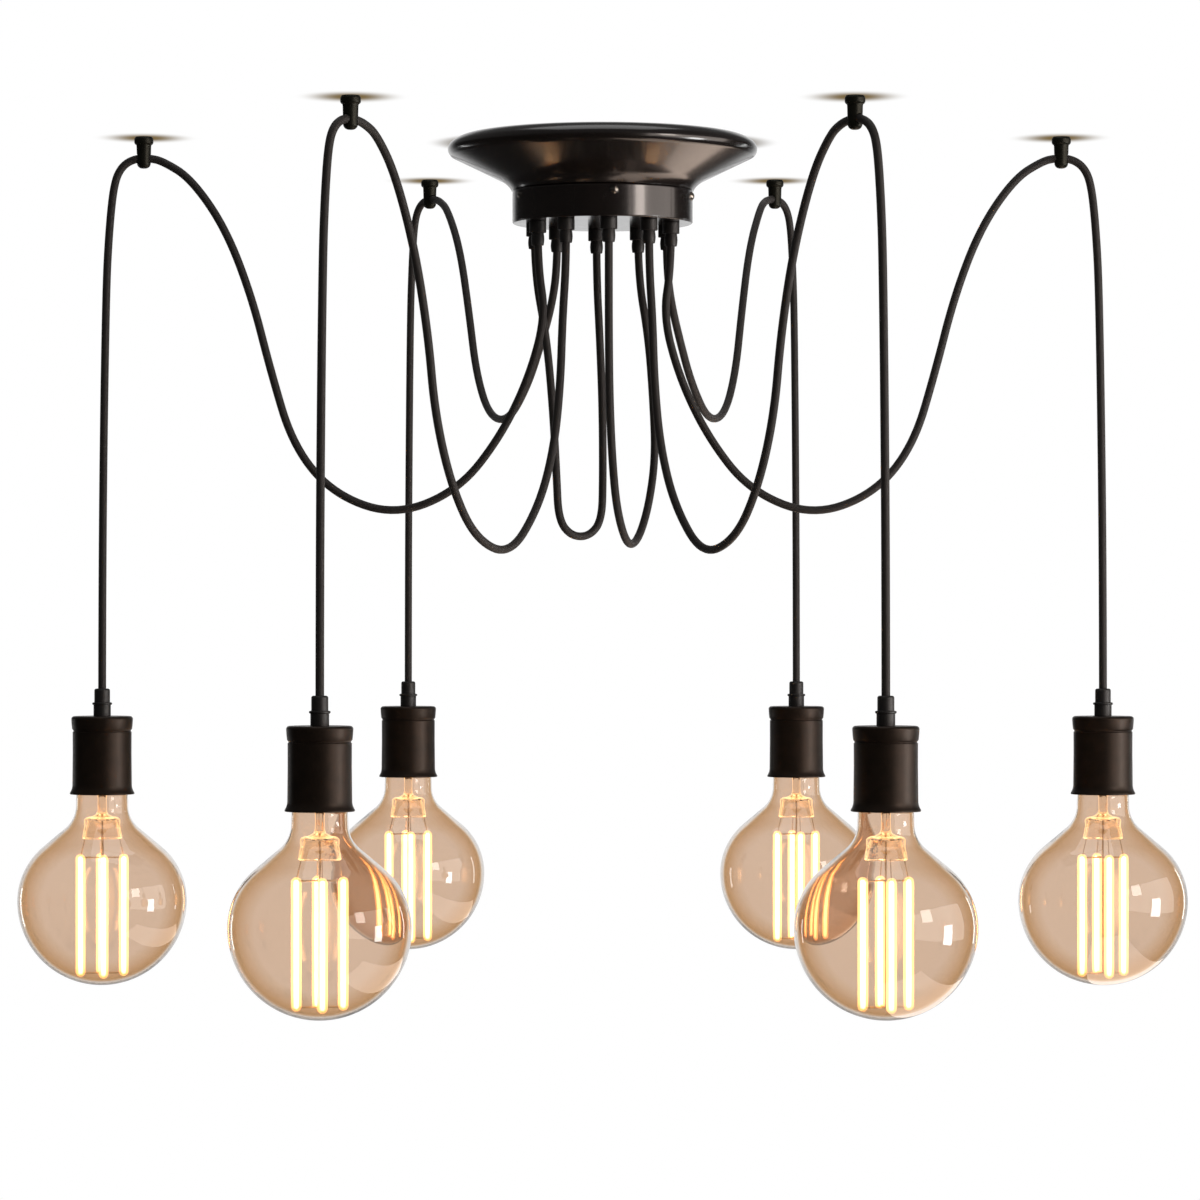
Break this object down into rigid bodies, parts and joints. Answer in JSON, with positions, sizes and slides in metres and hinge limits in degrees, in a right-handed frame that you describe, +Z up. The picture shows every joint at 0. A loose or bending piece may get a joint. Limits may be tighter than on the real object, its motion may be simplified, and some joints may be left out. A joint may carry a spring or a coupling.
{
  "type": "spider chandelier",
  "caption": "Spider chandelier with a round ceiling canopy, long swagged cords over ceiling hooks, and large clear globe lamps.",
  "frame": {"origin": "middle of the canopy, on the ceiling plane that it is screwed to", "axes": "+Z up into the ceiling, -Y towards the pictured front, +X to the right; everything hangs below Z = 0"},
  "size_m": [0.8692, 0.7611, 0.6303],
  "materials": {
    "canopy_lacquer": "glossy dark brown lacquer on spun steel",
    "holder_bronze": "satin dark bronze",
    "dark_screw": "blackened steel",
    "zinc_plate": "zinc plated",
    "black_nylon": "moulded",
    "white_nylon": "moulded",
    "black_phenolic": "moulded phenolic",
    "cord_braid": "braided textile sleeve",
    "lamp_cap": "nickel plated",
    "clear_glass": "clear blown glass",
    "filament_glass": "glass stem with glowing filaments"
  },
  "bodies": {
    "canopy": {"canopy_flare": "canopy_lacquer", "canopy_cup": "canopy_lacquer", "cup_screws": "dark_screw", "ceiling_plate": "zinc_plate", "terminal_block": "white_nylon", "terminal_screws": "zinc_plate", "canopy_grips": "black_nylon", "grip_nuts": "black_nylon", "hook_bases": "holder_bronze", "hook_bodies": "holder_bronze", "loop_left": "cord_braid", "loop_right": "cord_braid", "swag_side_left": "cord_braid", "swag_side_right": "cord_braid", "swag_front_left": "cord_braid", "swag_front_right": "cord_braid", "swag_back_left": "cord_braid", "swag_back_right": "cord_braid"},
    "pendant_side_left": {"drop_side_left": "cord_braid", "holder_grip_side_left": "black_nylon", "holder_shell_side_left": "holder_bronze", "holder_insert_side_left": "black_phenolic"},
    "bulb_side_left": {"bulb_cap_side_left": "lamp_cap", "bulb_glass_side_left": "clear_glass", "bulb_filaments_side_left": "filament_glass"},
    "pendant_side_right": {"drop_side_right": "cord_braid", "holder_grip_side_right": "black_nylon", "holder_shell_side_right": "holder_bronze", "holder_insert_side_right": "black_phenolic"},
    "bulb_side_right": {"bulb_cap_side_right": "lamp_cap", "bulb_glass_side_right": "clear_glass", "bulb_filaments_side_right": "filament_glass"},
    "pendant_front_left": {"drop_front_left": "cord_braid", "holder_grip_front_left": "black_nylon", "holder_shell_front_left": "holder_bronze", "holder_insert_front_left": "black_phenolic"},
    "bulb_front_left": {"bulb_cap_front_left": "lamp_cap", "bulb_glass_front_left": "clear_glass", "bulb_filaments_front_left": "filament_glass"},
    "pendant_front_right": {"drop_front_right": "cord_braid", "holder_grip_front_right": "black_nylon", "holder_shell_front_right": "holder_bronze", "holder_insert_front_right": "black_phenolic"},
    "bulb_front_right": {"bulb_cap_front_right": "lamp_cap", "bulb_glass_front_right": "clear_glass", "bulb_filaments_front_right": "filament_glass"},
    "pendant_back_left": {"drop_back_left": "cord_braid", "holder_grip_back_left": "black_nylon", "holder_shell_back_left": "holder_bronze", "holder_insert_back_left": "black_phenolic"},
    "bulb_back_left": {"bulb_cap_back_left": "lamp_cap", "bulb_glass_back_left": "clear_glass", "bulb_filaments_back_left": "filament_glass"},
    "pendant_back_right": {"drop_back_right": "cord_braid", "holder_grip_back_right": "black_nylon", "holder_shell_back_right": "holder_bronze", "holder_insert_back_right": "black_phenolic"},
    "bulb_back_right": {"bulb_cap_back_right": "lamp_cap", "bulb_glass_back_right": "clear_glass", "bulb_filaments_back_right": "filament_glass"}
  },
  "joints": [
    {"name": "swing_side_left", "type": "hinge", "parent": "canopy", "child": "pendant_side_left", "pos_m": [-0.372, 0, -0.06], "axis": [0, 1, 0], "range_deg": [-20, 20]},
    {"name": "bulb_turn_side_left", "type": "hinge", "parent": "pendant_side_left", "child": "bulb_side_left", "pos_m": [-0.372, 0, -0.4785], "axis": [0, 0, 1], "range_deg": [-1440, 0]},
    {"name": "swing_side_right", "type": "hinge", "parent": "canopy", "child": "pendant_side_right", "pos_m": [0.372, 0, -0.06], "axis": [0, -1, 0], "range_deg": [-20, 20]},
    {"name": "bulb_turn_side_right", "type": "hinge", "parent": "pendant_side_right", "child": "bulb_side_right", "pos_m": [0.372, 0, -0.4785], "axis": [0, 0, 1], "range_deg": [-1440, 0]},
    {"name": "swing_front_left", "type": "hinge", "parent": "canopy", "child": "pendant_front_left", "pos_m": [-0.19201, -0.28609, -0.06], "axis": [-0.7771, 0.6293, 0], "range_deg": [-20, 20]},
    {"name": "bulb_turn_front_left", "type": "hinge", "parent": "pendant_front_left", "child": "bulb_front_left", "pos_m": [-0.19201, -0.28609, -0.4785], "axis": [0, 0, 1], "range_deg": [-1440, 0]},
    {"name": "swing_front_right", "type": "hinge", "parent": "canopy", "child": "pendant_front_right", "pos_m": [0.19201, -0.28609, -0.06], "axis": [-0.7771, -0.6293, 0], "range_deg": [-20, 20]},
    {"name": "bulb_turn_front_right", "type": "hinge", "parent": "pendant_front_right", "child": "bulb_front_right", "pos_m": [0.19201, -0.28609, -0.4785], "axis": [0, 0, 1], "range_deg": [-1440, 0]},
    {"name": "swing_back_left", "type": "hinge", "parent": "canopy", "child": "pendant_back_left", "pos_m": [-0.15966, 0.34976, -0.06], "axis": [0.7986, 0.6018, 0], "range_deg": [-15, 20]},
    {"name": "bulb_turn_back_left", "type": "hinge", "parent": "pendant_back_left", "child": "bulb_back_left", "pos_m": [-0.15966, 0.34976, -0.4785], "axis": [0, 0, 1], "range_deg": [-1440, 0]},
    {"name": "swing_back_right", "type": "hinge", "parent": "canopy", "child": "pendant_back_right", "pos_m": [0.15966, 0.34976, -0.06], "axis": [0.7986, -0.6018, 0], "range_deg": [-15, 20]},
    {"name": "bulb_turn_back_right", "type": "hinge", "parent": "pendant_back_right", "child": "bulb_back_right", "pos_m": [0.15966, 0.34976, -0.4785], "axis": [0, 0, 1], "range_deg": [-1440, 0]}
  ]
}
